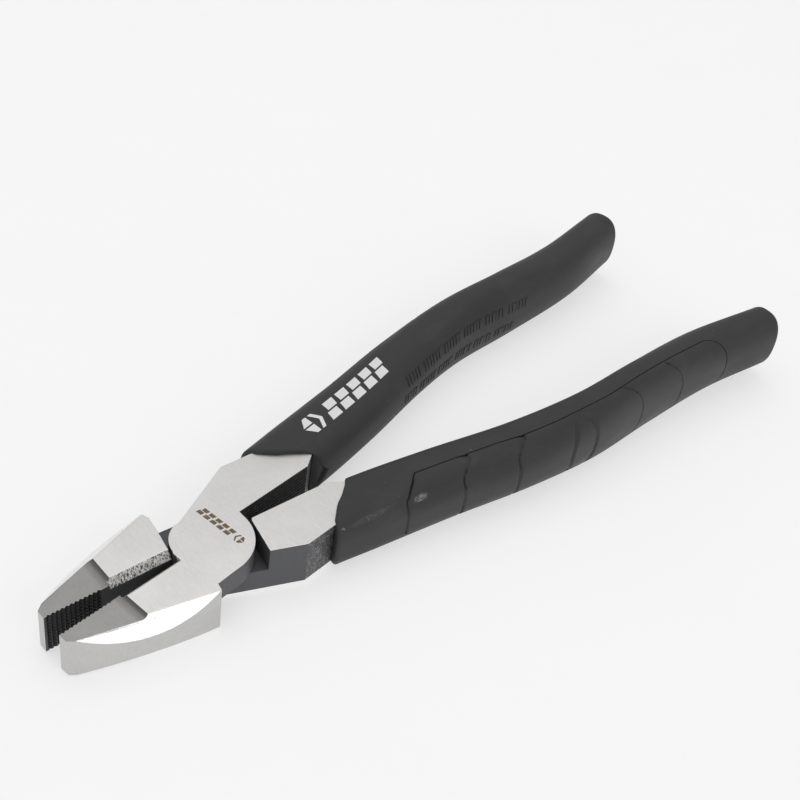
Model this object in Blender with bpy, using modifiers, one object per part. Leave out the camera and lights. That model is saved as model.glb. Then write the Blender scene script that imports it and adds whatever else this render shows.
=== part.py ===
"""Lineman's pliers, 241 mm long: two identical forgings lapped on a flush rivet, each with a
two-part rubber grip.

Every size below is in millimetres. +X points at the nose, +Z is up through the rivet, and the
origin is on the rivet's axis in the joint's lower face. Each forging is drawn with the jaws
closed, in a frame whose origin is the rivet's centre, and is then swung open on its hinge.
"""
import math

import bmesh
import bpy
import numpy as np
from mathutils import Vector

MM = 0.001

# ---- driving dimensions ----------------------------------------------------------------
THICK = 13.1            # head thickness, both halves lapped
GAP = 0.3               # clearance kept between separate solids
OPEN_DEG = 3.85         # how far each half stands open at rest

NOSE_X = 41.8           # rivet to nose tip
NOSE_HALF = 2.75        # width of one jaw at the tip
NOSE_DROP = 0.7         # how far the nose stands below the joint's faces
STEP_X = 24.3           # where the nose steps up to the joint's faces
SHOULDER = (6.8, 12.95) # jaw's rear shoulder on the joint's face
WALL_REAR = (7.4, 14.9) # rear end of the jaw's outer wall
WALL_BULGE = 3.7        # how far that wall bows outward between its ends
BITE = 0.15             # half the gap left between the closed jaws
TIP_ROUND = 0.4         # blunt corner of the jaw's tip, ahead of the first tooth

TOOTH_PITCH = 1.15      # gripping teeth on the nose
TOOTH_DEPTH = 0.5
TEETH_START = 28.0
CUTTER_BACK = 1.75      # cutting bevel: set back on the face
CUTTER_DEEP = 2.1       # and this deep
CUTTER_REAR = 8.3

CHEEK_FRONT_R = 8.1     # round of the cheek ahead of the rivet
CHEEK_REAR_R = 12.6     # and behind it
CHEEK_OUTER = (0.9, -7.7)
TANG_BEND = (-20.0, -15.6)
TANG_OUTER = (-30.2, -14.1)
TANG_INNER = (-37.0, -1.15)
TANG_NECK = (-40.8, -3.4)
TANG_NOTCH = (-12.8, -0.75)
TANG_STUB_X = -45.0     # where the flat tang ends inside the grip
TANG_STUB_Y = (-15.0, -6.0)
FAR = 20.0              # reach of a cutter that has to clear the whole head

RIVET_R = 4.2           # shank of the rivet
RIVET_HEAD_R = 5.2      # its flush countersunk ends
RIVET_HEAD = 1.4

# handle: centre line, half width and half height at stations along X, jaws closed
HANDLE_X = (-27.0, -41.0, -66.5, -92.5, -118.0, -143.5, -172.0, -200.5)
HANDLE_Y = (9.0, 10.0, 13.1, 17.1, 19.1, 18.0, 17.4, 20.1)
GRIP_W = (8.3, 9.0, 9.2, 8.7, 7.3, 7.0, 7.6, 6.8)
GRIP_H = (8.0, 8.0, 8.0, 8.9, 10.9, 11.0, 9.6, 9.9)
TANG_W = (6.0, 5.0, 4.4, 3.9, 3.5, 3.2, 3.0, 3.0)
TANG_H = (6.2, 6.0, 5.4, 5.0, 4.6, 4.3, 4.0, 4.0)
GRIP_POWER = (3.2, 3.2, 2.8, 2.5, 2.5, 2.5, 2.5, 2.5)   # squareness of the grip's section
TANG_POWER = (4.0,) * 8
GRIP_SECTION = (GRIP_W, GRIP_H, GRIP_POWER)
TANG_SECTION = (TANG_W, TANG_H, TANG_POWER)
TANG_END = -186.0       # steel stops here inside the grip
SEAT_GAP = 0.4          # clearance kept round the tang inside its grip
END_ROUND = 2.4         # round of the grip's rear end
GRIP_FRONT_OUT = (-28.2, 15.9)   # slanted front edge of the grip, outer and inner side
GRIP_FRONT_IN = (-44.1, 0.0)
INLAY_FRONT = -53.0     # soft panel let into the grip's outer side
INLAY_REAR = -176.0
INLAY_ANGLES = (-80.0, 45.0)     # its reach round the grip: 0 outer side, 90 the grip's upper side
INLAY_THICK = 1.5

STEEL = (0.62, 0.61, 0.59, 1.0)
RUBBER = (0.02, 0.02, 0.022, 1.0)
SOFT = (0.03, 0.03, 0.033, 1.0)


# ---- scene helpers ---------------------------------------------------------------------
def clear_scene():
    for obj in list(bpy.data.objects):
        bpy.data.objects.remove(obj, do_unlink=True)


def collection(name):
    group = bpy.data.collections.new(name)
    bpy.context.scene.collection.children.link(group)
    return group


def material(name, colour, metallic, roughness):
    mat = bpy.data.materials.new(name)
    mat.use_nodes = True
    shader = mat.node_tree.nodes["Principled BSDF"]
    shader.inputs["Base Color"].default_value = colour
    shader.inputs["Metallic"].default_value = metallic
    shader.inputs["Roughness"].default_value = roughness
    return mat


def link_mesh(name, mesh, group):
    obj = bpy.data.objects.new(name, mesh)
    group.objects.link(obj)
    return obj


def mesh_from_bmesh(name, bm):
    bmesh.ops.recalc_face_normals(bm, faces=bm.faces)
    mesh = bpy.data.meshes.new(name)
    bm.to_mesh(mesh)
    bm.free()
    return mesh


def as_cutter(obj, group):
    for owner in list(obj.users_collection):
        owner.objects.unlink(obj)
    group.objects.link(obj)
    obj.hide_render = True
    obj.display_type = "WIRE"
    return obj


def boolean(obj, other, operation):
    mod = obj.modifiers.new(operation.title() + "_" + other.name, "BOOLEAN")
    mod.operation = operation
    mod.solver = "EXACT"
    mod.object = other


# ---- shape helpers ---------------------------------------------------------------------
def arc(centre, radius, start_deg, end_deg, steps):
    angles = np.radians(np.linspace(start_deg, end_deg, steps + 1))
    return [(centre[0] + radius * math.cos(a), centre[1] + radius * math.sin(a)) for a in angles]


def bowed(start, end, bulge, steps):
    """Points of a circular arc from start to end that bows to the right of its chord."""
    p, q = Vector(start), Vector(end)
    half = (q - p).length / 2
    radius = (half * half + bulge * bulge) / (2 * bulge)
    along = (q - p).normalized()
    side = Vector((along.y, -along.x))
    spread = math.asin(half / radius)
    centre = (p + q) / 2 - side * (radius - bulge)
    points = []
    for i in range(steps + 1):
        a = spread * (2 * i / steps - 1)
        points.append(tuple(centre + side * radius * math.cos(a) + along * radius * math.sin(a)))
    return points


def plate(name, outline, z_low, z_high, group):
    """A flat outline, extruded from z_low to z_high, as a closed mesh object."""
    curve = bpy.data.curves.new(name, "CURVE")
    curve.dimensions = "2D"
    curve.fill_mode = "BOTH"
    curve.extrude = (z_high - z_low) / 2 * MM
    spline = curve.splines.new("POLY")
    spline.points.add(len(outline) - 1)
    for point, (x, y) in zip(spline.points, outline):
        point.co = (x * MM, y * MM, 0.0, 1.0)
    spline.use_cyclic_u = True
    flat = bpy.data.objects.new(name + "_curve", curve)
    bpy.context.scene.collection.objects.link(flat)
    flat.location.z = (z_high + z_low) / 2 * MM
    bpy.context.view_layer.update()
    depsgraph = bpy.context.evaluated_depsgraph_get()
    mesh = bpy.data.meshes.new_from_object(flat.evaluated_get(depsgraph))
    mesh.transform(flat.matrix_world)
    bpy.data.objects.remove(flat, do_unlink=True)
    bm = bmesh.new()
    bm.from_mesh(mesh)
    bmesh.ops.remove_doubles(bm, verts=bm.verts, dist=0.00001)
    return link_mesh(name, mesh_from_bmesh(name, bm), group)


def turned(name, profile, segments, group):
    """A profile of (radius, z) pairs, outer side from top to bottom, turned about Z."""
    bm = bmesh.new()
    verts = [bm.verts.new((r * MM, 0, z * MM)) for r, z in profile]
    for a, b in zip(verts, verts[1:]):
        bm.edges.new((a, b))
    mesh = bpy.data.meshes.new(name)
    bm.to_mesh(mesh)
    bm.free()
    obj = link_mesh(name, mesh, group)
    mod = obj.modifiers.new("Turn", "SCREW")
    mod.axis = "Z"
    mod.steps = segments
    mod.render_steps = segments
    mod.use_merge_vertices = True
    mod.merge_threshold = 0.00001
    return obj


def smooth(xs, ys, x):
    """Natural-looking interpolation of a station table at x (Catmull-Rom through the stations)."""
    xs = [-v for v in xs]
    x = -x
    i = max(0, min(len(xs) - 2, int(np.searchsorted(xs, x)) - 1))
    span = xs[i + 1] - xs[i]
    t = (x - xs[i]) / span
    below = (ys[i + 1] - ys[i]) / span if i == 0 else (ys[i + 1] - ys[i - 1]) / (xs[i + 1] - xs[i - 1])
    last = i + 2 >= len(xs)
    above = (ys[i + 1] - ys[i]) / span if last else (ys[i + 2] - ys[i]) / (xs[i + 2] - xs[i])
    a = 2 * t ** 3 - 3 * t ** 2 + 1
    b = t ** 3 - 2 * t ** 2 + t
    c = -2 * t ** 3 + 3 * t ** 2
    d = t ** 3 - t ** 2
    return a * ys[i] + b * below * span + c * ys[i + 1] + d * above * span


def handle_frame(x):
    """Centre of the handle at station x and the unit vector across it, towards its outer side."""
    y = smooth(HANDLE_X, HANDLE_Y, x)
    slope = (smooth(HANDLE_X, HANDLE_Y, x + 0.5) - smooth(HANDLE_X, HANDLE_Y, x - 0.5))
    across = Vector((-slope, 1.0, 0.0)).normalized()
    return Vector((x, -y, 0.0)), Vector((across.x, -across.y, 0.0))


def superellipse(angle, width, height, power):
    c, s = math.cos(angle), math.sin(angle)
    r = (abs(c) ** power + abs(s) ** power) ** (-1.0 / power)
    return width * r * c, height * r * s


def ring(x, angles, widths, heights, powers, grow=0.0):
    """One section of the handle at station x, as 3-D points in millimetres."""
    centre, across = handle_frame(x)
    power = smooth(HANDLE_X, powers, x)
    width = smooth(HANDLE_X, widths, x) + grow
    height = smooth(HANDLE_X, heights, x) + grow
    points = []
    for a in angles:
        u, v = superellipse(a, width, height, power)
        points.append(centre + across * u + Vector((0, 0, v)))
    return points


def loft(name, sections, group, closed=True):
    """A skin over sections of equal point count, capped at both ends."""
    bm = bmesh.new()
    rows = [[bm.verts.new(p * MM) for p in section] for section in sections]
    count = len(rows[0])
    for lower, upper in zip(rows, rows[1:]):
        for i in range(count if closed else count - 1):
            j = (i + 1) % count
            bm.faces.new((lower[i], lower[j], upper[j], upper[i]))
    bm.faces.new(rows[0])
    bm.faces.new(rows[-1])
    return link_mesh(name, mesh_from_bmesh(name, bm), group)


def sweep(name, stations, tables, group, grow=0.0, sides=24, round_end=0.0):
    """The handle's section carried along its centre line, with an optionally rounded far end."""
    angles = np.linspace(0, 2 * math.pi, sides, endpoint=False)
    sections = [ring(x, angles, *tables, grow) for x in stations]
    turns = np.radians((28, 55, 83)) if round_end else ()
    for turn in turns:
        x = stations[-1] - round_end * math.sin(turn)
        sections.append(ring(x, angles, *tables, grow - round_end * (1 - math.cos(turn))))
    return loft(name, sections, group)


# ---- the forging -----------------------------------------------------------------------
def nose_teeth():
    """Zigzag of the gripping teeth along the inner edge, from the tip back to the cutter."""
    count = int((NOSE_X - TEETH_START) / TOOTH_PITCH)
    points = []
    for i in range(count):
        x = NOSE_X - TIP_ROUND - i * TOOTH_PITCH
        points.append((x, BITE))
        points.append((x - TOOTH_PITCH / 2, BITE + TOOTH_DEPTH))
    return points


def forging_outline():
    """Whole plan of one half with the jaws closed: jaw on +Y, tang on -Y."""
    inner = [(NOSE_X, BITE + TOOTH_DEPTH / 2)] + nose_teeth() + [(TEETH_START - TOOTH_PITCH, BITE)]
    notch = [(CUTTER_REAR, BITE), (CUTTER_REAR, -1.0)]
    start = math.degrees(math.atan2(-2.0, CHEEK_FRONT_R))
    end = math.degrees(math.atan2(CHEEK_OUTER[1], CHEEK_OUTER[0]))
    front = arc((0, 0), CHEEK_FRONT_R, start, end + 6, 6)
    stub = [TANG_OUTER, (TANG_STUB_X, TANG_STUB_Y[0]), (TANG_STUB_X, TANG_STUB_Y[1]),
            TANG_NECK, TANG_INNER, TANG_NOTCH]
    rear_start = math.degrees(math.atan2(0.6, -CHEEK_REAR_R))
    rear = arc((0, 0), CHEEK_REAR_R, rear_start, 88, 12)
    wall = bowed((NOSE_X, NOSE_HALF), WALL_REAR, WALL_BULGE, 12)
    return inner + notch + front + [CHEEK_OUTER, TANG_BEND] + stub + rear + [SHOULDER] + wall[::-1]


def lap_outline():
    """Plan of what is cut away below the mid plane, to make room for the other half's cheek."""
    front = [(8.5, -FAR), (8.5, 2.0), (7.4, 7.8), (SHOULDER[0] - 0.1, SHOULDER[1] - 0.1), (5.6, FAR)]
    rear = [(-26.0, FAR), (-26.0, 1.5), (-13.0, 0.0), (-13.05, -1.8), (-11.0, -12.0), (-9.4, -FAR)]
    return front + rear


def slab(name, centre, size, group):
    bm = bmesh.new()
    bmesh.ops.create_cube(bm, size=1.0)
    bmesh.ops.scale(bm, vec=Vector(size) * MM, verts=bm.verts)
    obj = link_mesh(name, mesh_from_bmesh(name, bm), group)
    obj.location = Vector(centre) * MM
    return obj


def jaw_bevel(name, side, group):
    """Cutter for the 45 degree facet along the jaw's outer edge, on the face at side * THICK / 2."""
    tip = Vector((NOSE_X, NOSE_HALF, 0))
    rear = Vector((*WALL_REAR, 0))
    along = (rear - tip).normalized()
    middle = (tip + rear) / 2
    block_size = 14
    block = slab(name, (0, 0, 0), (60, block_size, block_size), group)
    outward = Vector((along.y, -along.x, 0))
    up = Vector((0, 0, side))
    corner = middle + up * THICK / 2 + (up - outward)
    block.location = (corner + outward * block_size / math.sqrt(2)) * MM
    block.rotation_euler = (math.radians(45), 0, math.atan2(along.y, along.x))
    return block


def nose_relief(name, side, group):
    """Cutter that grinds the nose down ahead of its step, on the face at side * THICK / 2."""
    length, width, height = 30, 2 * FAR, 10
    centre = (STEP_X + length / 2, width / 4, side * (THICK / 2 + height / 2 - NOSE_DROP))
    return slab(name, centre, (length, width, height), group)


def blade_bevel(name, side, group):
    """Cutter for the bevel behind the cutting edge, on the face at side * THICK / 2."""
    size = 6.0
    overlap = 0.4
    length = STEP_X - CUTTER_REAR
    block = slab(name, (0, 0, 0), (length + 2 * overlap, size, size), group)
    tilt = math.atan2(CUTTER_DEEP, CUTTER_BACK - BITE)
    mid_y = (CUTTER_BACK + BITE) / 2 - size / 2 * math.sin(tilt)
    mid_z = THICK / 2 - CUTTER_DEEP / 2 + size / 2 * math.cos(tilt)
    block.location = Vector((CUTTER_REAR + length / 2 + overlap, mid_y, side * mid_z)) * MM
    block.rotation_euler = (side * tilt, 0, 0)
    return block


def forging(name, group, cutters):
    """One half of the pliers, its cheek above the mid plane."""
    half = plate(name, forging_outline(), -THICK / 2, THICK / 2, group)
    lap = plate(name + "_lap", lap_outline(), -THICK, GAP / 2, cutters)
    boolean(half, as_cutter(lap, cutters), "DIFFERENCE")
    for side, tag in ((-1, "_under"), (1, "_top")):
        for shape, what in ((nose_relief, "_nose"), (blade_bevel, "_blade"), (jaw_bevel, "_bevel")):
            boolean(half, as_cutter(shape(name + what + tag, side, cutters), cutters), "DIFFERENCE")
    bore = turned(name + "_bore", rivet_profile(GAP, 1.0), 32, cutters)
    boolean(half, as_cutter(bore, cutters), "DIFFERENCE")
    stations = np.linspace(-36.0, TANG_END, 14)
    bar = sweep(name + "_bar", stations, TANG_SECTION, cutters, sides=12)
    boolean(half, as_cutter(bar, cutters), "UNION")
    return half


def rivet_profile(grow, extra):
    """Half section of the rivet: straight shank with a countersunk flush head at each end."""
    top = THICK / 2
    shank = RIVET_R + grow
    head = RIVET_HEAD_R + grow
    return [(0, top + extra), (head, top + extra), (head, top - 0.2), (shank, top - RIVET_HEAD),
            (shank, RIVET_HEAD - top), (head, 0.2 - top), (head, -top - extra), (0, -top - extra)]


# ---- the grip --------------------------------------------------------------------------
def front_cutter(name, group):
    """Removes the grip ahead of its slanted front edge."""
    outer, inner = GRIP_FRONT_OUT, GRIP_FRONT_IN
    outline = [(outer[0], -outer[1] - FAR), (outer[0], -outer[1]), (inner[0], -inner[1]),
               (inner[0], FAR), (FAR, FAR), (FAR, -outer[1] - FAR)]
    return as_cutter(plate(name, outline, -FAR, FAR, group), group)


def inlay_solid(name, group, grow, proud):
    """The soft panel on the grip's outer side, or with grow its recess."""
    spread = grow / min(GRIP_W)
    first, last = np.radians(INLAY_ANGLES)
    angles = np.linspace(first - spread, last + spread, 11)
    front = INLAY_FRONT + grow
    rear = INLAY_REAR - grow
    sections = []
    for x in np.linspace(front, rear, 16):
        skin = ring(x, angles, *GRIP_SECTION, proud)
        base = ring(x, angles, *GRIP_SECTION, -INLAY_THICK - grow)
        sections.append(skin + base[::-1])
    return loft(name, sections, group)


def grip(name, group, cutters):
    """Moulded rubber grip, hollow for the tang, with a recess for its panel."""
    stations = np.linspace(-24.0, HANDLE_X[-1], 24)
    body = sweep(name, stations, GRIP_SECTION, group, round_end=END_ROUND)
    hollow = sweep(name + "_hollow", np.linspace(-20.0, TANG_END - 1.0, 14), TANG_SECTION, cutters,
                   grow=SEAT_GAP, sides=12)
    boolean(body, as_cutter(hollow, cutters), "DIFFERENCE")
    stub = [(0, 1.0), (0, TANG_BEND[1] - SEAT_GAP), (TANG_BEND[0], TANG_BEND[1] - SEAT_GAP),
            (TANG_OUTER[0], TANG_OUTER[1] - SEAT_GAP), (TANG_STUB_X - SEAT_GAP, TANG_STUB_Y[0] - SEAT_GAP),
            (TANG_STUB_X - SEAT_GAP, TANG_STUB_Y[1] + SEAT_GAP),
            (TANG_NECK[0], TANG_NECK[1] + SEAT_GAP), (TANG_INNER[0], 1.0)]
    pocket = plate(name + "_pocket", stub, -THICK / 2 - GAP, THICK / 2 + GAP, cutters)
    boolean(body, as_cutter(pocket, cutters), "DIFFERENCE")
    recess = inlay_solid(name + "_recess", cutters, GAP, INLAY_THICK)
    boolean(body, as_cutter(recess, cutters), "DIFFERENCE")
    boolean(body, front_cutter(name + "_front", cutters), "DIFFERENCE")
    return body


# ---- assembly --------------------------------------------------------------------------
def hinge(name, flip, angle_deg):
    """Empty on the rivet's axis; a flipped one turns its half over about X."""
    empty = bpy.data.objects.new(name, None)
    bpy.context.scene.collection.objects.link(empty)
    empty.location.z = THICK / 2 * MM
    empty.rotation_euler = (math.pi if flip else 0.0, 0.0, math.radians(angle_deg))
    return empty


def build():
    clear_scene()
    parts = collection("lineman_pliers")
    cutters = collection("cutters")
    steel = material("satin_steel", STEEL, 1.0, 0.35)
    rivet_steel = material("rivet_steel", STEEL, 1.0, 0.3)
    rubber = material("black_rubber", RUBBER, 0.0, 0.55)
    soft = material("soft_rubber", SOFT, 0.0, 0.65)
    for side, flip, angle in (("upper", False, OPEN_DEG), ("lower", True, -OPEN_DEG)):
        centre = hinge(side + "_hinge", flip, angle)
        pieces = [
            (forging(side + "_half", parts, cutters), steel),
            (grip(side + "_grip", parts, cutters), rubber),
            (inlay_solid(side + "_grip_panel", parts, 0.0, 0.0), soft),
        ]
        for obj, mat in pieces:
            obj.data.materials.append(mat)
            obj.parent = centre
            for mod in obj.modifiers:
                if mod.type == "BOOLEAN":
                    mod.object.parent = centre
    rivet = turned("pivot_rivet", rivet_profile(0.0, 0.0), 32, parts)
    rivet.location.z = THICK / 2 * MM
    rivet.data.materials.append(rivet_steel)


build()
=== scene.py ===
"""Looks for the lineman's pliers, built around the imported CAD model.

Lengths are in millimetres until a mesh is made. Each side of the pliers is drawn with the jaws
closed, in a frame whose origin is the rivet's centre (+X nose, +Y its own jaw, -Y its handle),
and its object then carries the opening angle, so one set of functions builds both sides.
"""
import math

import bmesh
import bpy
import numpy as np
from mathutils import Matrix, Vector

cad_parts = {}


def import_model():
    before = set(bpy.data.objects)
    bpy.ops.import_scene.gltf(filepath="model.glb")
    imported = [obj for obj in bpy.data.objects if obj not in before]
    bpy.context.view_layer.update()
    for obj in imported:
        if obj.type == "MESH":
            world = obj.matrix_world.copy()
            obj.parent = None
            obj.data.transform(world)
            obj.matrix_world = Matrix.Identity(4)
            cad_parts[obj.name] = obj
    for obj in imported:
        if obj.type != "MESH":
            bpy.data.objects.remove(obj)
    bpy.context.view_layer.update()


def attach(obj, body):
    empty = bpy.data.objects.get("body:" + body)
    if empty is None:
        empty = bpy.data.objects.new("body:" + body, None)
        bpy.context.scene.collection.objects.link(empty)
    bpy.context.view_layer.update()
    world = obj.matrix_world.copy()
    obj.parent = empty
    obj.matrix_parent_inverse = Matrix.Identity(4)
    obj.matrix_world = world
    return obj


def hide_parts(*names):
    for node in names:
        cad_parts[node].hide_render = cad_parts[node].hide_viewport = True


MM = 0.001

# ---- steel, as in the CAD model ----------------------------------------------------------
THICK = 13.1
HALF = THICK / 2
OPEN_DEG = 3.85
NOSE_X = 41.8
NOSE_HALF = 2.75
NOSE_DROP = 0.7
STEP_X = 24.3
STEP_RADIUS = 2.9        # concave round where the nose was ground down
SHOULDER = (6.8, 12.95)
WALL_REAR = (7.4, 14.9)
WALL_BULGE = 3.7
BITE = 0.15
TOOTH_PITCH = 1.15
TOOTH_DEPTH = 0.42
TEETH_START = 28.0
CUTTER_BACK = 1.75
CUTTER_DEEP = 2.1
CUTTER_REAR = 8.3
CHEEK_FRONT_R = 8.1
CHEEK_REAR_R = 12.6
CHEEK_OUTER = (0.9, -7.7)
NOTCH_Y = -1.0           # inner end of the notch behind the cutters
CHEEK_START_Y = -2.0     # where the cheek's front round starts
LAP_FRONT_X = 8.5
LAP_CORNER = ((-14.4, -0.55), (-13.75, -0.85), (-13.3, -1.4), (-13.1, -2.2))
TANG_BEND = (-20.0, -15.6)
TANG_OUTER = (-30.2, -14.1)
TANG_INNER = (-37.0, -1.15)
TANG_NECK = (-40.8, -3.4)
TANG_NOTCH = (-12.8, -0.75)
TANG_STUB_X = -45.0
TANG_STUB_Y = (-15.0, -6.0)
RIVET_R = 4.2
RIVET_HEAD_R = 5.2
RIVET_HEAD = 1.4
RIVET_SEGMENTS = 96
RIVET_FIT = 0.01         # the peened rivet is ground flush, so its edge barely shows
LAP_GAP = 0.16
EDGE = 0.2               # broken edges on the steel
REACH = 5.0              # how far a cutting block stands past the steel
NOSE_BLOCK_Y = (-20, 30)
CUT_BACK = 1.5           # body of a saw-toothed cutter behind its teeth
CUT_HEIGHT = 9           # half the height of that cutter
SERRATION_PITCH = 0.62   # fine cross cuts on the inner edges of the tangs
SERRATION_DEPTH = 0.16

# ---- grips -------------------------------------------------------------------------------
HANDLE_X = (-20.0, -27.0, -41.0, -66.5, -92.5, -118.0, -143.5, -172.0, -200.5)
HANDLE_Y = (8.8, 9.0, 10.0, 13.1, 17.1, 19.1, 18.0, 17.4, 20.1)
GRIP_W = (8.0, 8.2, 9.0, 9.2, 8.7, 7.3, 7.0, 7.6, 6.8)
GRIP_H = (8.0, 8.0, 8.0, 8.0, 8.9, 10.9, 11.0, 9.6, 9.9)
GRIP_POWER = (3.2, 3.2, 3.2, 2.8, 2.5, 2.5, 2.5, 2.5, 2.5)
TANG_W = (6.0, 6.0, 5.0, 4.4, 3.9, 3.5, 3.2, 3.0, 3.0)
TANG_H = (6.2, 6.2, 6.0, 5.4, 5.0, 4.6, 4.3, 4.0, 4.0)
TANG_POWER = (4.0,) * 9
TANG_END = -186.0
GRIP_END = -202.8
LIP = 0.9                # round of the grip's front edge
END_ROUND = 1.5
# front edge of the grip: station against angle round the section (0 outer side, 90 top)
FRONT_ANGLE = (0, 30, 45, 61, 91, 104, 122, 134, 156, 180)
FRONT_X = (-28.6, -28.8, -29.2, -30.2, -33.9, -36.4, -39.3, -40.5, -42.2, -44.3)
SEAT_GAP = 0.12
# pale patches on the rubber: centre, radii and strength, in the side's closed frame; the first is a
# real scuff, the second is dust and painted sheen
SCUFFS_AND_SHEEN = (((-54.0, -18.4, -6.0), (3.0, 1.3, 1.0), 1.0),
          # painted sheen, with some dust, along the rounded shoulder of the lower grip
          ((-43.0, -16.6, -6.1), (12.0, 1.2, 1.0), 0.3))

PANEL_SEAM = 0.17        # open width of the line between the panel and the grip
PANEL_DEPTH = 1.3
PANEL_FRONT = -49.9
PANEL_SLANT = 7.4
PANEL_REAR = -177.6
PANEL_ROUND = 9.0
PANEL_UPPER_EDGE = 45    # degrees from the outer side to the panel's upper border
# the lower border: station against degrees from the outer side
PANEL_EDGE_X = (-45, -57, -84, -91, -102, -124, -151, -171, -182)
PANEL_EDGE_ANGLE = (88, 88, 87, 83, 79, 74, 77, 79, 79)
# grooves across the panel: station on the outer side, and how far they sweep off it
FINGER_LINES = ((-50.6, 5.4), (-69.0, 5.0), (-87.1, 5.0))
FINGER_DEPTH = 0.8
REAR_LINES = ((-136.3, 7.2), (-155.7, 6.0))
REAR_DEPTH = 0.7
ARCH_X = -110.6
ARCH_RADIUS = 4.6        # along the grip
ARCH_DEGREES = 62.0      # round the grip
ARCH_DEPTH = 0.7
ARCH_WIDTH = 0.8

# ---- generic marks -----------------------------------------------------------------------
WHITE_SIZE = (37.0, 6.2)
WHITE_START = -45.2      # station of the printed mark's front end
WHITE_SIDE = 3.1         # its edge, across from the grip's centre line
ETCH_SIZE = (15.0, 2.4)
ETCH_START = (-7.6, 7.3)
ETCH_DIRECTION = (0.02, -1.0)
# rows of ticks: first and last point as station and angle, then the ticks' height
TICK_ROWS = (((-83.4, 147), (-147.6, 163), 3.0), ((-81.7, 182), (-142.2, 199), 2.8))
TICKS_IN_ROW = 40
TICK_GROUP = 7           # every so many ticks, one is left out
TICK_WIDTHS = (0.42, 0.78, 0.3, 0.6, 0.42, 0.9)

# ---- stage -------------------------------------------------------------------------------
FLOOR_SIZE = 4000.0
FLOOR_FRONT = (STEP_X, 0.0)          # x and z where the nose's step touches the floor
FLOOR_REAR = (-137.0, HALF - 11.05)  # and where the fat of the grips does
FLOOR_GAP = 0.03
CAMERA_LENS = 56.7
CAMERA_PLACE = (134.5, 161.5, 235.2)
CAMERA_HEADING = 128.98  # degrees about Z
CAMERA_TILT = 50.52      # degrees up from looking straight down
CAMERA_ROLL = 9.49       # degrees about its line of sight


# ---- mesh helpers ------------------------------------------------------------------------
def make_object(name, verts, faces, material_index=0):
    """A mesh object from points in millimetres and faces as index tuples."""
    bm = bmesh.new()
    points = [bm.verts.new(Vector(v) * MM) for v in verts]
    for face in faces:
        bm.faces.new([points[i] for i in face]).material_index = material_index
    bmesh.ops.recalc_face_normals(bm, faces=bm.faces)
    mesh = bpy.data.meshes.new(name)
    bm.to_mesh(mesh)
    bm.free()
    obj = bpy.data.objects.new(name, mesh)
    bpy.context.scene.collection.objects.link(obj)
    return obj


def prism(name, outline, low, high, material_index=0, across=False):
    """An outline extruded from low to high along Z, or along Y for an outline drawn in X and Z."""
    def place(point, level):
        return (point[0], level, point[1]) if across else (point[0], point[1], level)

    count = len(outline)
    verts = [place(p, low) for p in outline] + [place(p, high) for p in outline]
    faces = [tuple(range(count)), tuple(range(2 * count - 1, count - 1, -1))]
    for i in range(count):
        j = (i + 1) % count
        faces.append((i, j, count + j, count + i))
    return make_object(name, verts, faces, material_index)


def apply_modifiers(obj):
    bpy.context.view_layer.update()
    depsgraph = bpy.context.evaluated_depsgraph_get()
    mesh = bpy.data.meshes.new_from_object(obj.evaluated_get(depsgraph))
    obj.modifiers.clear()
    old = obj.data
    obj.data = mesh
    bpy.data.meshes.remove(old)


def combine(obj, others, operation="DIFFERENCE"):
    """Boolean with each of the others in turn, which are then removed."""
    for other in others:
        mod = obj.modifiers.new("Boolean", "BOOLEAN")
        mod.operation = operation
        mod.solver = "EXACT"
        mod.object = other
        apply_modifiers(obj)
        bpy.data.objects.remove(other, do_unlink=True)


def weld(obj, distance, flat_deg):
    """Merges near-double points and dissolves edges inside flat faces."""
    bm = bmesh.new()
    bm.from_mesh(obj.data)
    bmesh.ops.remove_doubles(bm, verts=bm.verts, dist=distance * MM)
    bmesh.ops.dissolve_limit(bm, angle_limit=math.radians(flat_deg), verts=bm.verts, edges=bm.edges,
                             delimit={"MATERIAL"})
    bm.to_mesh(obj.data)
    bm.free()


def break_edges(obj, width, segments, limit_deg):
    mod = obj.modifiers.new("Bevel", "BEVEL")
    mod.width = width * MM
    mod.segments = segments
    mod.limit_method = "ANGLE"
    mod.angle_limit = math.radians(limit_deg)
    mod.use_clamp_overlap = False
    mod.miter_outer = "MITER_ARC"
    apply_modifiers(obj)


def smooth_faces(obj, sharp_deg, weighted=True):
    """Smooth shading up to an angle; weighting keeps wide flat faces flat beside small rounds."""
    obj.data.shade_smooth()
    obj.data.set_sharp_from_angle(angle=math.radians(sharp_deg))
    if weighted:
        mod = obj.modifiers.new("Weighted", "WEIGHTED_NORMAL")
        mod.keep_sharp = True
        apply_modifiers(obj)


# ---- curve helpers -----------------------------------------------------------------------
def arc(centre, radius, start_deg, end_deg, steps):
    angles = np.radians(np.linspace(start_deg, end_deg, steps + 1))
    return [(centre[0] + radius * math.cos(a), centre[1] + radius * math.sin(a)) for a in angles]


def bowed(start, end, bulge, steps):
    """Points of a circular arc from start to end that bows to the right of its chord."""
    p, q = Vector(start), Vector(end)
    half = (q - p).length / 2
    radius = (half * half + bulge * bulge) / (2 * bulge)
    along = (q - p).normalized()
    side = Vector((along.y, -along.x))
    spread = math.asin(half / radius)
    centre = (p + q) / 2 - side * (radius - bulge)
    points = []
    for i in range(steps + 1):
        a = spread * (2 * i / steps - 1)
        points.append(tuple(centre + side * radius * math.cos(a) + along * radius * math.sin(a)))
    return points


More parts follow.
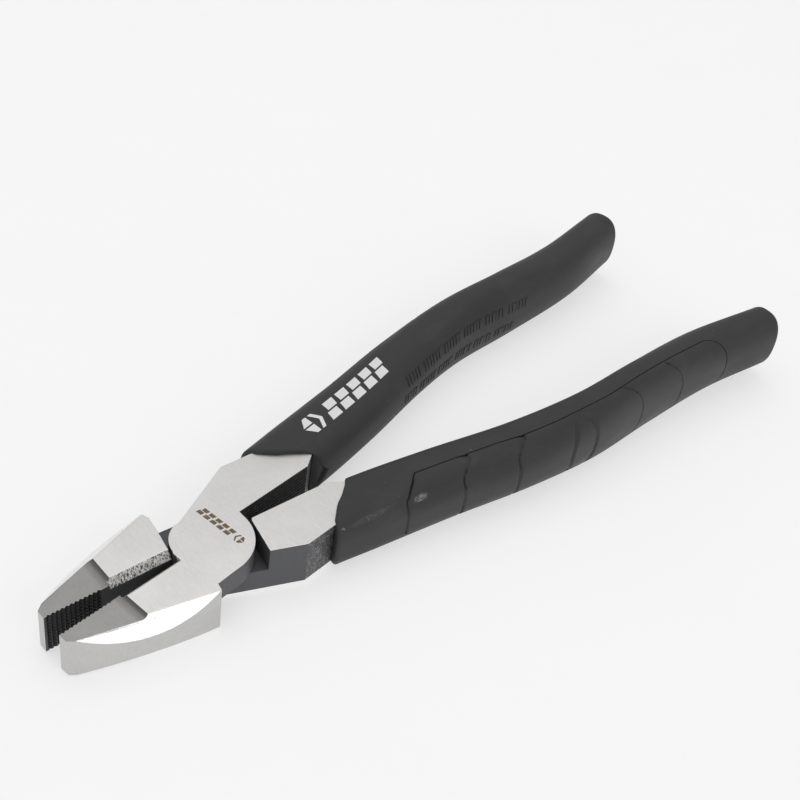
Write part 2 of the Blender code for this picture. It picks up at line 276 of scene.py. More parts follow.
def table(xs, ys, x):
    """Smooth interpolation of a falling station table (Catmull-Rom), for an array of stations."""
    xs = -np.asarray(xs, float)
    ys = np.asarray(ys, float)
    x = -np.asarray(x, float)
    i = np.clip(np.searchsorted(xs, x) - 1, 0, len(xs) - 2)
    span = xs[i + 1] - xs[i]
    t = (x - xs[i]) / span
    before = np.maximum(i - 1, 0)
    after = np.minimum(i + 2, len(xs) - 1)
    slope_a = (ys[i + 1] - ys[before]) / (xs[i + 1] - xs[before])
    slope_b = (ys[after] - ys[i]) / (xs[after] - xs[i])
    a = 2 * t ** 3 - 3 * t ** 2 + 1
    b = t ** 3 - 2 * t ** 2 + t
    c = -2 * t ** 3 + 3 * t ** 2
    d = t ** 3 - t ** 2
    return a * ys[i] + b * slope_a * span + c * ys[i + 1] + d * slope_b * span


def skin(x, angle, grow=0.0, section=(GRIP_W, GRIP_H, GRIP_POWER)):
    """Points on the handle's surface, for arrays of stations, angles (radians) and offsets."""
    x, angle, grow = np.broadcast_arrays(np.asarray(x, float), angle, grow)
    slope = table(HANDLE_X, HANDLE_Y, x + 0.5) - table(HANDLE_X, HANDLE_Y, x - 0.5)
    length = np.sqrt(1 + slope ** 2)
    across_x, across_y = -slope / length, -1 / length
    width = table(HANDLE_X, section[0], x) + grow
    height = table(HANDLE_X, section[1], x) + grow
    power = table(HANDLE_X, section[2], x)
    c, s = np.cos(angle), np.sin(angle)
    r = (np.abs(c) ** power + np.abs(s) ** power) ** (-1.0 / power)
    u = width * r * c
    px = x + across_x * u
    py = -table(HANDLE_X, HANDLE_Y, x) + across_y * u
    return np.stack([px, py, height * r * s], axis=-1)


def grid_solid(name, rows, caps="ngon"):
    """A closed skin over rows of equal point count; strip caps join mirrored points of a ring."""
    count = len(rows[0])
    verts = [tuple(p) for row in rows for p in row]
    faces = []
    for i in range(len(rows) - 1):
        for j in range(count):
            k = (j + 1) % count
            faces.append((i * count + j, i * count + k, (i + 1) * count + k, (i + 1) * count + j))
    for start in (0, (len(rows) - 1) * count):
        if caps == "ngon":
            faces.append(tuple(range(start, start + count)))
            continue
        half = count // 2
        for j in range(half):
            mirrored = (start + (count - j - 1) % count, start + (count - j) % count)
            faces.append(tuple(dict.fromkeys((start + j, start + j + 1, *mirrored))))
    return make_object(name, verts, faces)


# ---- steel halves ------------------------------------------------------------------------
BLACK, FACE, NOSE, ROUGH, FACET, WALL, FORGED, TEETH = range(8)


def half_outline():
    """Plan of one half with the jaws closed, before its teeth and serrations are cut."""
    inner = [(NOSE_X, BITE), (TEETH_START - 1.6, BITE)]
    notch = [(CUTTER_REAR, BITE), (CUTTER_REAR, NOTCH_Y)]
    start = math.degrees(math.atan2(CHEEK_START_Y, CHEEK_FRONT_R))
    end = math.degrees(math.atan2(CHEEK_OUTER[1], CHEEK_OUTER[0]))
    front = arc((0, 0), CHEEK_FRONT_R, start, end + 6, 18)
    stub = [TANG_OUTER, (TANG_STUB_X, TANG_STUB_Y[0]), (TANG_STUB_X, TANG_STUB_Y[1]),
            TANG_NECK, TANG_INNER, TANG_NOTCH]
    rear_start = math.degrees(math.atan2(0.6, -CHEEK_REAR_R))
    rear = arc((0, 0), CHEEK_REAR_R, rear_start, 88, 36)
    wall = bowed((NOSE_X, NOSE_HALF), WALL_REAR, WALL_BULGE, 36)
    return inner + notch + front + [CHEEK_OUTER, TANG_BEND] + stub + rear + [SHOULDER] + wall[::-1]


def lap_outline():
    """Plan of what is cut away below the mid plane, with the tang's front corner rounded."""
    shoulder = (SHOULDER[0] - 0.1, SHOULDER[1] - 0.1)
    front = [(LAP_FRONT_X, -2.0), (LAP_FRONT_X, 2.0), (7.4, 7.8), shoulder, (5.6, 20.0)]
    rear = [(-26.0, 20.0), (-26.0, 1.5), *LAP_CORNER, (-11.0, -12.0), (-9.4, -20.0)]
    return front + rear + [(LAP_FRONT_X, -20.0)]


def nose_cutters():
    """Blocks that grind the nose down on both faces, ending in a concave round."""
    cutters = []
    run = math.sqrt(2 * STEP_RADIUS * NOSE_DROP - NOSE_DROP ** 2)
    top = HALF + REACH
    for side in (-1, 1):
        profile = [(STEP_X, top), (STEP_X, HALF)]
        for t in np.linspace(0, 1, 13)[1:]:
            x = STEP_X + run * t
            sagitta = math.sqrt(max(STEP_RADIUS ** 2 - (run - run * t) ** 2, 0))
            profile.append((x, HALF - max(sagitta - (STEP_RADIUS - NOSE_DROP), 0)))
        profile += [(NOSE_X + REACH, HALF - NOSE_DROP), (NOSE_X + REACH, top)]
        profile = [(x, side * z) for x, z in profile]
        cutters.append(prism("nose_cutter", profile, *NOSE_BLOCK_Y, NOSE, across=True))
    return cutters


def blade_cutters():
    """Slanted blocks that leave the rough-ground bevel behind each cutting edge."""
    cutters = []
    tilt = math.atan2(CUTTER_DEEP, CUTTER_BACK - BITE)
    half = 3.0
    size = 2 * half
    length = STEP_X - CUTTER_REAR
    overlap = 0.4
    for side in (-1, 1):
        profile = [(-half, -half), (half, -half), (half, half), (-half, half)]
        block = prism("blade_cutter", profile, -half, half, ROUGH)
        stretch = Matrix.Diagonal((length + 2 * overlap, size, size, 1))
        block.data.transform(stretch @ Matrix.Scale(1 / size, 4))
        mid_y = (CUTTER_BACK + BITE) / 2 - half * math.sin(tilt)
        mid_z = HALF - CUTTER_DEEP / 2 + half * math.cos(tilt)
        mid_x = CUTTER_REAR + length / 2 + overlap
        block.location = Vector((mid_x, mid_y, side * mid_z)) * MM
        block.rotation_euler = (side * tilt, 0, 0)
        cutters.append(block)
    return cutters


def facet_cutters():
    """Blocks turned 45 degrees that leave the bright facet along the jaw's outer edge."""
    cutters = []
    tip = Vector((NOSE_X, NOSE_HALF, 0))
    rear = Vector((*WALL_REAR, 0))
    along = (rear - tip).normalized()
    outward = Vector((along.y, -along.x, 0))
    middle = (tip + rear) / 2
    half = 7
    reach = 30
    above = 1
    for side in (-1, 1):
        plan = [(-reach, -half), (reach, -half), (reach, half), (-reach, half)]
        block = prism("facet_cutter", plan, -half, half, FACET)
        corner = middle + Vector((0, 0, side * (HALF + above))) - outward
        block.location = (corner + outward * 2 * half / math.sqrt(2)) * MM
        block.rotation_euler = (math.radians(45), 0, math.atan2(along.y, along.x))
        cutters.append(block)
    return cutters


def saw(start, end, pitch, depth, back):
    """Closed zigzag outline along the line from start to end, biting to its left by depth."""
    p, q = Vector(start), Vector(end)
    along = (q - p).normalized()
    left = Vector((-along.y, along.x))
    count = int((q - p).length / pitch)
    points = []
    for i in range(count):
        points.append(tuple(p + along * i * pitch))
        points.append(tuple(p + along * (i + 0.5) * pitch + left * depth))
    points.append(tuple(p + along * count * pitch))
    points.append(tuple(p + along * count * pitch - left * back))
    points.append(tuple(p - left * back))
    return points


def rivet_profile(grow, extra):
    """Half section of the rivet, top to bottom: a shank with a countersunk head at each end."""
    rim = 0.2
    shank = RIVET_R + grow
    head = RIVET_HEAD_R + grow
    return [(head, HALF + extra), (head, HALF - rim), (shank, HALF - RIVET_HEAD),
            (shank, RIVET_HEAD - HALF), (head, rim - HALF), (head, -HALF - extra)]


def turned(name, profile, segments, material_index):
    angles = np.linspace(0, 2 * math.pi, segments, endpoint=False)
    rows = [[(r * math.cos(a), r * math.sin(a), z) for a in angles] for r, z in profile]
    obj = grid_solid(name, rows)
    for face in obj.data.polygons:
        face.material_index = material_index
    return obj


def paint_half(half):
    """Gives the flat faces, the jaw's outer wall and the tang's rough outer side their finishes."""
    for face in half.data.polygons:
        centre, normal = face.center / MM, face.normal
        on_jaw = centre.x > WALL_REAR[0] and centre.y > NOSE_HALF - 0.5
        if abs(normal.z) > 0.9:
            face.material_index = FACE
        elif centre.x > NOSE_X - 0.1 or (on_jaw and normal.y > 0.5):
            face.material_index = WALL
        elif TANG_STUB_X < centre.x < TANG_BEND[0] and centre.y < TANG_OUTER[1] + 1:
            face.material_index = FORGED


def steel_half(name, materials):
    half = prism(name, half_outline(), -HALF, HALF)
    dress(half, materials)
    paint_half(half)
    lap = prism("lap_cutter", lap_outline(), -THICK, LAP_GAP / 2)
    shapers = [lap] + nose_cutters() + blade_cutters() + facet_cutters()
    for cutter in shapers:
        dress(cutter, materials)
    combine(half, shapers)
    weld(half, 0.01, 0.4)
    break_edges(half, EDGE, 2, 28)
    crest = BITE - 0.03
    rear, front = (TEETH_START - 0.6, crest), (NOSE_X + 0.4, crest)
    teeth = saw(rear, front, TOOTH_PITCH, TOOTH_DEPTH, CUT_BACK)
    notches = saw(TANG_NOTCH, TANG_INNER, SERRATION_PITCH, SERRATION_DEPTH, CUT_BACK)
    late = [prism("teeth_cutter", teeth, -CUT_HEIGHT, CUT_HEIGHT, TEETH),
            prism("notch_cutter", notches, -CUT_HEIGHT, CUT_HEIGHT, TEETH),
            turned("bore_cutter", rivet_profile(RIVET_FIT, 1.0), RIVET_SEGMENTS, BLACK)]
    for cutter in late:
        dress(cutter, materials)
    combine(half, late)
    stations = np.linspace(-38.0, TANG_END, 30)
    angles = np.linspace(0, 2 * math.pi, 24, endpoint=False)
    rows = [skin(x, angles, -0.2, (TANG_W, TANG_H, TANG_POWER)) for x in stations]
    combine(half, [grid_solid("tang_bar", rows)], "UNION")
    smooth_faces(half, 32)
    return half


# ---- grips -------------------------------------------------------------------------------
def front_line(angle):
    degrees = np.abs(np.degrees(angle))
    return np.interp(degrees, FRONT_ANGLE, FRONT_X)


def plate_pocket():
    """Room for the flat of the tang where it runs into the grip."""
    gap = SEAT_GAP
    outline = [(0, TANG_INNER[1] + gap), (0, -16.2), (TANG_BEND[0], TANG_BEND[1] - gap),
               (TANG_OUTER[0], TANG_OUTER[1] - gap), (TANG_STUB_X - gap, TANG_STUB_Y[0] - gap),
               (TANG_STUB_X - gap, TANG_STUB_Y[1]), (TANG_NECK[0] - gap, TANG_NECK[1] + gap),
               (TANG_INNER[0], TANG_INNER[1] + gap)]
    return prism("pocket_cutter", outline, -HALF - gap, HALF + gap)


def grip_body(name):
    """Moulded grip: rounded front lip, body, rounded rim and flat end, seated on the tang."""
    angles = np.linspace(0, 2 * math.pi, 128, endpoint=False)
    signed = np.where(angles > math.pi, angles - 2 * math.pi, angles)
    front = front_line(signed)
    rows = []
    for turn in np.radians((0, 18, 36, 54, 72)):
        inset = LIP * (1 - math.sin(turn))
        rows.append(skin(front - LIP * (1 - math.cos(turn)), signed, -inset))
    stop = GRIP_END + END_ROUND
    for u in np.linspace(0, 1, 210):
        rows.append(skin((front - LIP) * (1 - u) + stop * u, signed))
    for turn in np.radians((22.5, 45, 67.5, 90)):
        inset = END_ROUND * (1 - math.cos(turn))
        rows.append(skin(np.full_like(angles, stop - END_ROUND * math.sin(turn)), signed, -inset))
    return grid_solid(name, rows, caps="strip")


def panel_angle(x, v):
    """Angle round the grip at station x and place v across the panel, from -1 to 1."""
    lower = np.interp(-x, [-station for station in PANEL_EDGE_X], PANEL_EDGE_ANGLE)
    return np.radians(np.where(v < 0, lower, PANEL_UPPER_EDGE) * v)


def panel_ends(v):
    """Front and rear stations of the panel at v, its place across from -1 to 1."""
    slant = np.clip((np.abs(v) - 0.5) / 0.5, 0, 1)
    front = PANEL_FRONT - PANEL_SLANT * slant
    rear = PANEL_REAR + PANEL_ROUND * (1 - np.sqrt(np.clip(1 - v ** 2, 0, 1)))
    return front, rear


def step_groove(x, rear_line, width, depth):
    """A cut that deepens gently towards the rear and ends in a steep wall on rear_line."""
    wall = 0.4
    ahead = x - rear_line
    ramp = np.clip(1 - ahead / width, 0, 1)
    rise = np.clip(ahead / wall, 0, 1)
    return -depth * ramp ** 1.2 * rise * rise * (3 - 2 * rise)


def panel_relief(x, degrees):
    """Depth of the finger lines at each point of the panel."""
    a = np.abs(degrees)
    flare = np.clip((a - 44) / 32, 0, 1)
    width = 1.3 + 2.1 * flare
    relief = np.zeros_like(x)
    for middle, sweep in FINGER_LINES:
        relief = np.minimum(relief, step_groove(x, middle - sweep * flare, width, FINGER_DEPTH))
    for middle, sweep in REAR_LINES:
        line = middle + sweep * (a / 75) ** 2
        fade = np.clip((76 - a) / 6, 0, 1)
        relief = np.minimum(relief, step_groove(x, line, 0.8 + 1.4 * flare, REAR_DEPTH) * fade)
    radius = np.sqrt(((x - ARCH_X) / ARCH_RADIUS) ** 2 + (degrees / ARCH_DEGREES) ** 2)
    ring = np.abs(radius - 1) * ARCH_RADIUS
    return np.minimum(relief, -ARCH_DEPTH * np.clip(1 - ring / ARCH_WIDTH, 0, 1) ** 0.8)


def panel_solid(name, columns, border, grow, top, relief=False):
    """The panel as a closed shell over the grip's skin, or with grow a cutter for its recess."""
    nominal_half, nominal_length, nominal_radius = 14.0, 130.0, 9.0
    edge = np.array([0, 0.04, 0.1, 0.2, 0.35]) / nominal_half
    v = np.concatenate([-1 + edge, np.linspace(-0.95, 0.95, border), 1 - edge[::-1]])
    front, rear = panel_ends(v)
    front, rear = front + grow, rear - grow
    ends = np.array([0, 0.06, 0.15, 0.3, 0.5]) / nominal_length
    u = np.concatenate([ends, np.linspace(0.006, 0.994, columns), 1 - ends[::-1]])
    x = front[None, :] + (rear - front)[None, :] * u[:, None]
    wide = panel_angle(x, v[None, :])
    wide = wide + np.sign(v)[None, :] * grow / nominal_radius * np.abs(v[None, :]) ** 8
    height = np.full_like(x, top)
    if relief:
        inside = np.minimum(np.minimum(front[None, :] - x, x - rear[None, :]),
                            (1 - np.abs(v))[None, :] * nominal_half)
        round_off = 0.32
        drop = np.clip(round_off - inside, 0, round_off)
        height -= round_off - np.sqrt(round_off ** 2 - drop ** 2)
        height += panel_relief(x, np.degrees(wide))
    upper = skin(x, wide, height)
    lower = skin(x, wide, -PANEL_DEPTH - grow)
    rows = [np.concatenate([upper[i], lower[i][::-1]]) for i in range(len(u))]
    return panel_mesh(name, rows, len(v))


def panel_mesh(name, rows, width):
    """Skin over the panel's rows, with each end closed by strips from its top to its bottom."""
    count = 2 * width
    verts = [tuple(p) for row in rows for p in row]
    faces = []
    for i in range(len(rows) - 1):
        for j in range(count):
            k = (j + 1) % count
            faces.append((i * count + j, i * count + k, (i + 1) * count + k, (i + 1) * count + j))
    for start in (0, (len(rows) - 1) * count):
        for j in range(width - 1):
            faces.append((start + j, start + j + 1, start + count - j - 2, start + count - j - 1))
    return make_object(name, verts, faces)


def grip(name):
    body = grip_body(name)
    recess = panel_solid("recess_cutter", 150, 24, PANEL_SEAM, 2.0)
    combine(body, [recess, plate_pocket()])
    smooth_faces(body, 38, weighted=False)
    return body


# ---- generic marks -----------------------------------------------------------------------
def add_tile(verts, faces, corners, place, thick, step=0.7):
    """Adds a thin raised tile: four corners in a flat frame, gridded so that it follows a curve."""
    low_left, low_right, high_right, high_left = (Vector(c) for c in corners)
    across = max(2, int((low_right - low_left).length / step) + 1)
    upward = max(2, int((high_left - low_left).length / step) + 1)
    start = len(verts)
    for lift in (-0.06, thick):
        for j in range(upward + 1):
            left = low_left.lerp(high_left, j / upward)
            right = low_right.lerp(high_right, j / upward)
            for i in range(across + 1):
                verts.append(tuple(place(*left.lerp(right, i / across), lift)))
    wide = across + 1
    layer = wide * (upward + 1)
    for base in (start, start + layer):
        for j in range(upward):
            for i in range(across):
                at = base + j * wide + i
                faces.append((at, at + 1, at + wide + 1, at + wide))
    rim = list(range(wide)) + [j * wide + across for j in range(1, upward + 1)]
    rim += [upward * wide + i for i in range(across - 1, -1, -1)]
    rim += [j * wide for j in range(upward - 1, 0, -1)]
    for a, b in zip(rim, rim[1:] + rim[:1]):
        faces.append((start + a, start + b, start + layer + b, start + layer + a))


def emblem_tiles(length, height):
    """A generic geometric mark: a split diamond, then slanted blocks parted by diagonal slits."""
    head = height * 1.15
    mid = height / 2
    slit = height * 0.045
    tiles = [[(0, mid + slit), (head / 2, mid + slit), (head / 2, height), (head * 0.3, height)],
             [(0, mid - slit), (head * 0.3, 0), (head / 2, 0), (head / 2, mid - slit)],
             [(head * 0.62, 0), (head * 0.8, 0), (head * 1.05, mid), (head * 0.87, mid)],
             [(head * 0.87, mid), (head * 1.05, mid), (head * 0.8, height), (head * 0.62, height)]]
    blocks = 5
    start = head * 1.25
    pitch = (length - start) / blocks
    lean = height * 0.25
    for k in range(blocks):
        left = start + k * pitch
        right = left + pitch * 0.86
        cut = (right - left) * 0.2
        lower = [(left, 0), (right - slit * 2, 0), (right - cut + lean / 2, mid - slit),
                 (left + lean / 2, mid - slit)]
        upper = [(left + cut + lean / 2, mid + slit), (right + lean / 2, mid + slit),
                 (right + lean, height), (left + lean + slit * 2, height)]
        tiles += [lower, upper]
    return tiles


def printed_mark(name, length, height, place, lift):
    verts, faces = [], []
    for tile in emblem_tiles(length, height):
        add_tile(verts, faces, tile, place, lift)
    return make_object(name, verts, faces)


def on_grip_top(along, across, lift):
    """A point on the grip's upper surface, given its distance from the mark's start and side."""
    x = WHITE_START - along
    centre = skin(x, math.pi / 2, 0)
    wide = table(HANDLE_X, GRIP_W, x)
    power = table(HANDLE_X, GRIP_POWER, x)
    height = table(HANDLE_X, GRIP_H, x)
    u = across - WHITE_SIDE
    fall = (1 - min(abs(u) / wide, 0.999) ** power) ** (1 / power)
    return (centre[0], centre[1] - u, height * fall + lift)


def on_joint_face(along, across, lift):
    """A point on the upper cheek's ground face, along the line that the etched mark follows."""
    start, direction = Vector(ETCH_START), Vector(ETCH_DIRECTION).normalized()
    side = Vector((-direction.y, direction.x))
    p = start + direction * along + side * across
    return (p.x, p.y, HALF + lift)


def tick_rows(name):
    """Two rows of small raised ticks moulded on the inner side of the grip."""
    verts, faces = [], []
    for (x0, a0), (x1, a1), tall in TICK_ROWS:
        for k in range(TICKS_IN_ROW):
            if k % TICK_GROUP == TICK_GROUP - 2:
                continue
            share = (k + 0.2) / TICKS_IN_ROW
            x = x0 + (x1 - x0) * share
            angle = a0 + (a1 - a0) * share
            wide = TICK_WIDTHS[k % len(TICK_WIDTHS)] * 1.5
            degrees = math.degrees(tall / 2 / table(HANDLE_X, GRIP_H, x))

            def place(along, across, lift, x=x, angle=angle, degrees=degrees):
                return skin(x - along, math.radians(angle + across * degrees), lift)

            tile = [(0, -1), (wide, -1), (wide, 1), (0, 1)]
            add_tile(verts, faces, tile, place, 0.2)
    return make_object(name, verts, faces)


# ---- materials ---------------------------------------------------------------------------
class Finish:
    """A procedural material with helpers that add texture to its one shader."""

    def __init__(self, name, colour, metallic, roughness):
        self.material = bpy.data.materials.new(name)
        self.material.use_nodes = True
        self.tree = self.material.node_tree
        self.shader = self.tree.nodes["Principled BSDF"]
        self.shader.inputs["Base Color"].default_value = (*colour, 1)
        self.shader.inputs["Metallic"].default_value = metallic
        self.shader.inputs["Roughness"].default_value = roughness
        self.coords = self.tree.nodes.new("ShaderNodeTexCoord").outputs["Object"]
        self.colour = None
        self.normal = None

    def node(self, kind, links=(), **values):
        made = self.tree.nodes.new(kind)
        for key, value in values.items():
            setattr(made, key, value)
        for socket, source in links:
            if hasattr(source, "links"):
                self.tree.links.new(source, made.inputs[socket])
            else:
                made.inputs[socket].default_value = source
        return made

    def noise(self, scale, detail=3.0, roughness=0.5):
        """Noise whose features measure about 1 / scale metres along each axis."""
        mapped = self.node("ShaderNodeMapping", [("Vector", self.coords), ("Scale", scale)])
        made = self.node("ShaderNodeTexNoise", [("Vector", mapped.outputs[0]), ("Scale", 1.0),
                                                ("Detail", detail), ("Roughness", roughness)])
        return made.outputs["Fac"]

    def remap(self, value, low, high, to_low, to_high):
        links = [("Value", value), ("From Min", low), ("From Max", high),
                 ("To Min", to_low), ("To Max", to_high)]
        return self.node("ShaderNodeMapRange", links).outputs["Result"]

    def tint(self, mask, colour):
        """Blends the surface towards a colour where the mask is high."""
        mix = self.node("ShaderNodeMix", data_type="RGBA")
        self.tree.links.new(mask, mix.inputs["Factor"])
        mix.inputs[6].default_value = self.shader.inputs["Base Color"].default_value
        if self.colour is not None:
            self.tree.links.new(self.colour, mix.inputs[6])
        mix.inputs[7].default_value = (*colour, 1)
        self.colour = mix.outputs[2]
        self.tree.links.new(self.colour, self.shader.inputs["Base Color"])

    def vary_roughness(self, value, low, high):
        made = self.remap(value, 0.3, 0.7, low, high)
        self.tree.links.new(made, self.shader.inputs["Roughness"])

    def bump(self, height, strength, distance_mm):
        links = [("Height", height), ("Strength", strength), ("Distance", distance_mm * MM)]
        if self.normal is not None:
            links.append(("Normal", self.normal))
        self.normal = self.node("ShaderNodeBump", links).outputs[0]
        self.tree.links.new(self.normal, self.shader.inputs["Normal"])


def ground_steel(name, colour, roughness, grain, bump, painted_step_shade=False):
    """Ground steel: fine parallel scratches along one axis, faint cloudiness and tiny pits, and
    where asked a painted shade that darkens the nose towards the concave round at its step.
    """
    finish = Finish(name, colour, 1.0, roughness)
    scratches = finish.noise(grain, 5.0, 0.65)
    clouds = finish.noise((90, 90, 90), 2.0)
    dark = tuple(c * 0.86 for c in colour)
    bright = tuple(min(c * 1.1, 1) for c in colour)
    finish.tint(finish.remap(scratches, 0.35, 0.65, 0.0, 0.5), dark)
    finish.tint(finish.remap(clouds, 0.45, 0.8, 0.0, 0.5), bright)
    if painted_step_shade:
        place = finish.node("ShaderNodeSeparateXYZ", [("Vector", finish.coords)]).outputs["X"]
        # painted shade: the nose darkened towards its step, standing in for the dark reflection of
        # the concave round
        near_step = finish.remap(place, (STEP_X + 0.3) * MM, (STEP_X + 3.0) * MM, 0.85, 0.0)
        finish.tint(near_step, tuple(c * 0.3 for c in colour))
    pits = finish.noise((1400, 1400, 1400), 1.0)
    finish.tint(finish.remap(pits, 0.77, 0.83, 0.0, 0.5), tuple(c * 0.45 for c in colour))
    finish.vary_roughness(scratches, roughness - 0.06, roughness + 0.08)
    finish.bump(scratches, bump, 0.02)
    return finish.material


def rough_cut_steel():
    finish = Finish("rough_cut_steel", (0.9, 0.89, 0.87), 1.0, 0.36)
    chips = finish.noise((2600, 1500, 1500), 4.0, 0.72)
    finish.tint(finish.remap(chips, 0.5, 0.57, 0.0, 0.95), (0.06, 0.06, 0.06))
    finish.bump(chips, 1.0, 0.35)
    return finish.material


def black_oxide(name, rough_forging):
    finish = Finish(name, (0.095, 0.096, 0.102), 0.5, 0.46)
    if rough_forging:
        lumps = finish.noise((1300, 1300, 1300), 5.0, 0.72)
        finish.tint(finish.remap(lumps, 0.53, 0.64, 0.0, 0.85), (0.4, 0.39, 0.38))
        finish.tint(finish.remap(lumps, 0.46, 0.36, 0.0, 0.8), (0.03, 0.03, 0.032))
        finish.bump(lumps, 0.9, 0.3)
        finish.vary_roughness(lumps, 0.35, 0.6)
        return finish.material
    streaks = finish.noise((1300, 1300, 60), 4.0, 0.6)
    finish.tint(finish.remap(streaks, 0.45, 0.7, 0.0, 0.6), (0.12, 0.121, 0.128))
    finish.vary_roughness(streaks, 0.38, 0.55)
    finish.bump(streaks, 0.35, 0.03)
    return finish.material


def dark_teeth():
    # near black, far darker than the black oxide: the oxide's own colour with painted shade added
    # for faces that look at the other half across a narrow gap
    finish = Finish("dark_teeth", (0.008, 0.008, 0.009), 0.1, 0.6)
    oil = finish.noise((900, 900, 900), 3.0, 0.6)
    finish.tint(finish.remap(oil, 0.55, 0.75, 0.0, 0.6), (0.03, 0.03, 0.03))
    finish.vary_roughness(oil, 0.5, 0.7)
    finish.bump(oil, 0.4, 0.05)
    rows = finish.node("ShaderNodeTexWave", [("Vector", finish.coords), ("Scale", 285.0)],
                       bands_direction="Z")
    finish.bump(rows.outputs["Fac"], 0.8, 0.3)
    return finish.material


def scuff_and_sheen_patch(finish, centre, radii, strength):
    """A pale patch round a point of the side's own frame, both in millimetres; it draws the real
    scuffs and the painted sheen streak with dust.
    """
    shifted = finish.node("ShaderNodeVectorMath", operation="SUBTRACT")
    finish.tree.links.new(finish.coords, shifted.inputs[0])
    shifted.inputs[1].default_value = Vector(centre) * MM
    scaled = finish.node("ShaderNodeVectorMath", operation="DIVIDE")
    finish.tree.links.new(shifted.outputs[0], scaled.inputs[0])
    scaled.inputs[1].default_value = Vector(radii) * MM
    length = finish.node("ShaderNodeVectorMath", operation="LENGTH")
    finish.tree.links.new(scaled.outputs[0], length.inputs[0])
    falloff = finish.remap(length.outputs["Value"], 0.2, 1.0, 1.0, 0.0)
    grains = finish.remap(finish.noise((900, 3000, 3000), 5.0, 0.75), 0.44, 0.6, 0.0, strength)
    both = finish.node("ShaderNodeMath", operation="MULTIPLY")
    finish.tree.links.new(falloff, both.inputs[0])
    finish.tree.links.new(grains, both.inputs[1])
    finish.tint(both.outputs[0], (0.5, 0.5, 0.5))


def rubber(name, colour, roughness):
    """Moulded rubber: fine matt grain, faint smears, a few pale specks of dust, pale scuffs and a
    painted sheen streak along the grip's shoulder.
    """
    finish = Finish(name, colour, 0.0, roughness)
    finish.shader.inputs["Specular IOR Level"].default_value = 0.28
    grain = finish.noise((2600, 2600, 2600), 3.0, 0.6)
    smears = finish.noise((60, 120, 120), 4.0, 0.6)
    finish.tint(finish.remap(smears, 0.5, 0.8, 0.0, 0.5), tuple(c * 1.9 for c in colour))
    dust = finish.noise((900, 900, 900), 1.0)
    finish.tint(finish.remap(dust, 0.79, 0.84, 0.0, 0.45), (0.3, 0.3, 0.3))
    # pale patches: real scuffs, and a streak of painted sheen with dust along the grip's shoulder
    for patch in SCUFFS_AND_SHEEN:
        scuff_and_sheen_patch(finish, *patch)
    finish.vary_roughness(smears, roughness - 0.07, roughness + 0.08)
    finish.bump(grain, 0.35, 0.05)
    return finish.material


def printed_white():
    finish = Finish("printed_white", (0.86, 0.86, 0.86), 0.0, 0.5)
    wear = finish.noise((1500, 1500, 1500), 3.0, 0.6)
    finish.tint(finish.remap(wear, 0.62, 0.72, 0.0, 0.35), (0.5, 0.5, 0.5))
    finish.bump(wear, 0.15, 0.03)
    return finish.material


def etched_brown():
    finish = Finish("etched_brown", (0.16, 0.115, 0.075), 0.35, 0.55)
    patchy = finish.noise((1800, 1800, 1800), 3.0, 0.6)
    finish.tint(finish.remap(patchy, 0.5, 0.7, 0.0, 0.7), (0.34, 0.28, 0.21))
    finish.bump(patchy, 0.3, 0.03)
    return finish.material


def studio_floor():
    finish = Finish("studio_floor", (0.44, 0.44, 0.442), 0.0, 0.8)
    finish.shader.inputs["Emission Color"].default_value = (1, 1, 1, 1)
    finish.shader.inputs["Emission Strength"].default_value = 0.57
    paper = finish.noise((25, 25, 25), 4.0, 0.6)
    finish.tint(finish.remap(paper, 0.4, 0.8, 0.0, 0.5), (0.425, 0.425, 0.427))
    return finish.material


def dress(obj, materials):
    for material in materials:
        obj.data.materials.append(material)


# ---- stage -------------------------------------------------------------------------------
def make_floor():
    """A pale floor that the pliers rest on: it touches the nose's step and the fat of the grips."""
    size = FLOOR_SIZE
    slope = (FLOOR_FRONT[1] - FLOOR_REAR[1]) / (FLOOR_FRONT[0] - FLOOR_REAR[0])
    low = FLOOR_FRONT[1] - FLOOR_GAP
    verts = []
    for x, y in ((-size, -size), (size, -size), (size, size), (-size, size)):
        verts.append((x, y, low + slope * (x - FLOOR_FRONT[0])))
    floor = make_object("floor", verts, [(0, 1, 2, 3)])
    dress(floor, [studio_floor()])


def area_light(name, direction, distance, size, power, colour=(1, 1, 1)):
    """A soft box that shines at the middle of the pliers from the given direction."""
    target = Vector((-0.06, 0.0, 0.0))
    data = bpy.data.lights.new(name, "AREA")
    data.shape = "RECTANGLE"
    data.size, data.size_y = size
    data.energy = power
    data.color = colour
    lamp = bpy.data.objects.new(name, data)
    bpy.context.scene.collection.objects.link(lamp)
    offset = Vector(direction).normalized() * distance
    lamp.location = target + offset
    lamp.rotation_euler = offset.to_track_quat("Z", "Y").to_euler()


def light_studio():
    scene = bpy.context.scene
    world = bpy.data.worlds.new("studio")
    scene.world = world
    world.use_nodes = True
    background = world.node_tree.nodes["Background"]
    background.inputs["Color"].default_value = (1.0, 1.0, 1.0, 1)
    background.inputs["Strength"].default_value = 0.58
    scene.view_settings.view_transform = "Standard"
    area_light("key_front", (0.05, 0.8, 0.6), 1.0, (0.5, 0.4), 1.15)
    area_light("overhead", (-0.1, -0.25, 1.0), 1.2, (1.0, 1.0), 2.5)


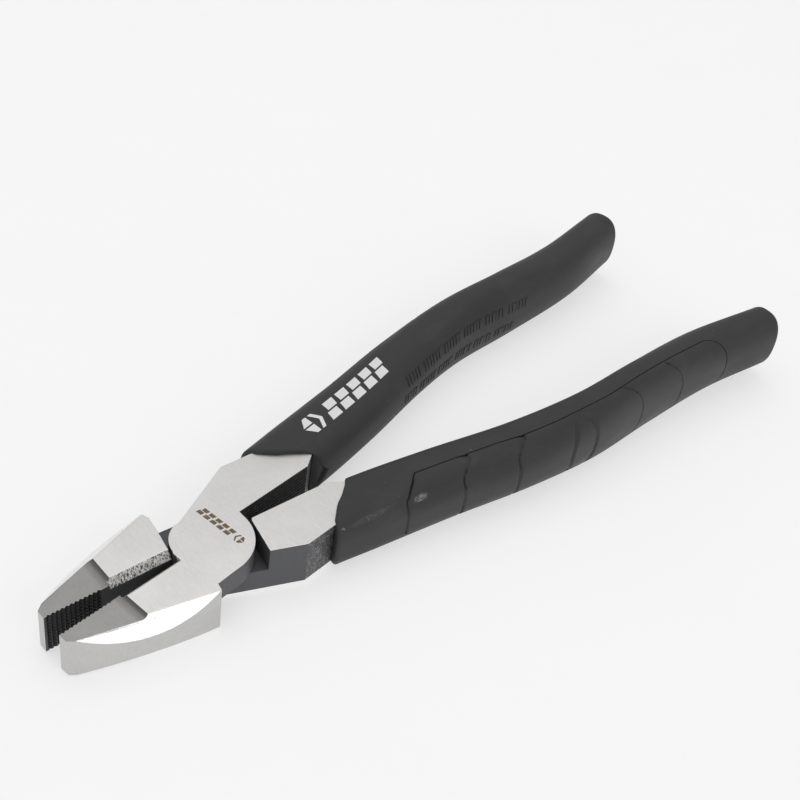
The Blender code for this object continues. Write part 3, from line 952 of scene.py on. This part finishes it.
def place_camera():
    data = bpy.data.cameras.new("camera")
    camera = bpy.data.objects.new("camera", data)
    bpy.context.scene.collection.objects.link(camera)
    data.sensor_width = 36.0
    data.lens = CAMERA_LENS
    data.clip_start = 0.01
    heading = Matrix.Rotation(math.radians(CAMERA_HEADING), 4, "Z")
    tilt = Matrix.Rotation(math.radians(CAMERA_TILT), 4, "X")
    roll = Matrix.Rotation(math.radians(CAMERA_ROLL), 4, "Z")
    camera.matrix_world = Matrix.Translation(Vector(CAMERA_PLACE) * MM) @ heading @ tilt @ roll
    bpy.context.scene.camera = camera


# ---- assembly ----------------------------------------------------------------------------
def side_frame(flip, angle_deg):
    """Where a side drawn with closed jaws sits in the model at rest."""
    lift = Matrix.Translation((0, 0, HALF * MM))
    swing = Matrix.Rotation(math.radians(angle_deg), 4, "Z")
    return lift @ swing @ Matrix.Rotation(math.pi if flip else 0.0, 4, "X")


def mount(piece, frame_matrix, body, replaced=()):
    piece.matrix_world = frame_matrix
    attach(piece, body)
    if replaced:
        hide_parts(*replaced)


def build_side(side, flip, angle_deg, finishes):
    frame_matrix = side_frame(flip, angle_deg)
    body = side + "_side"
    half = steel_half("steel_" + side, finishes["steel"])
    mount(half, frame_matrix, body, [side + "_half"])
    cover = grip("rubber_grip_" + side)
    dress(cover, [finishes["rubber"]])
    mount(cover, frame_matrix, body, [side + "_grip"])
    panel = panel_solid("finger_panel_" + side, 460, 50, 0.0, 0.02, relief=True)
    smooth_faces(panel, 60, weighted=False)
    dress(panel, [finishes["panel"]])
    mount(panel, frame_matrix, body, [side + "_grip_panel"])
    return frame_matrix


def build_marks(frame_matrix, finishes):
    white = printed_mark("white_mark", *WHITE_SIZE, on_grip_top, 0.04)
    dress(white, [finishes["white"]])
    mount(white, frame_matrix, "upper_side")
    etched = printed_mark("etched_mark", *ETCH_SIZE, on_joint_face, 0.012)
    dress(etched, [finishes["etched"]])
    mount(etched, frame_matrix, "upper_side")
    ticks = tick_rows("moulded_ticks")
    dress(ticks, [finishes["rubber"]])
    mount(ticks, frame_matrix, "upper_side")


def make_finishes():
    along_x = (60, 2600, 2600)
    along_y = (3600, 500, 3600)
    face = ground_steel("ground_face", (0.78, 0.77, 0.755), 0.42, along_y, 0.1)
    nose = ground_steel("ground_nose", (0.37, 0.365, 0.355), 0.42, along_y, 0.12, painted_step_shade=True)
    facet = ground_steel("bright_facet", (0.88, 0.88, 0.87), 0.34, (3000, 500, 500), 0.1)
    wall = ground_steel("ground_wall", (0.6, 0.595, 0.58), 0.45, along_x, 0.2)
    steel = [black_oxide("black_oxide", False), face, nose, rough_cut_steel(), facet, wall,
             black_oxide("rough_forging", True), dark_teeth()]
    return {"steel": steel, "rubber": rubber("grip_rubber", (0.042, 0.042, 0.043), 0.55),
            "panel": rubber("panel_rubber", (0.039, 0.039, 0.041), 0.47),
            "white": printed_white(), "etched": etched_brown()}


def main():
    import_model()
    place_camera()
    light_studio()
    finishes = make_finishes()
    upper = build_side("upper", False, OPEN_DEG, finishes)
    build_side("lower", True, -OPEN_DEG, finishes)
    rivet = turned("flush_rivet", rivet_profile(0.0, 0.0), RIVET_SEGMENTS, FACE)
    smooth_faces(rivet, 20)
    dress(rivet, finishes["steel"])
    mount(rivet, upper, "upper_side", ["pivot_rivet"])
    build_marks(upper, finishes)
    make_floor()


main()
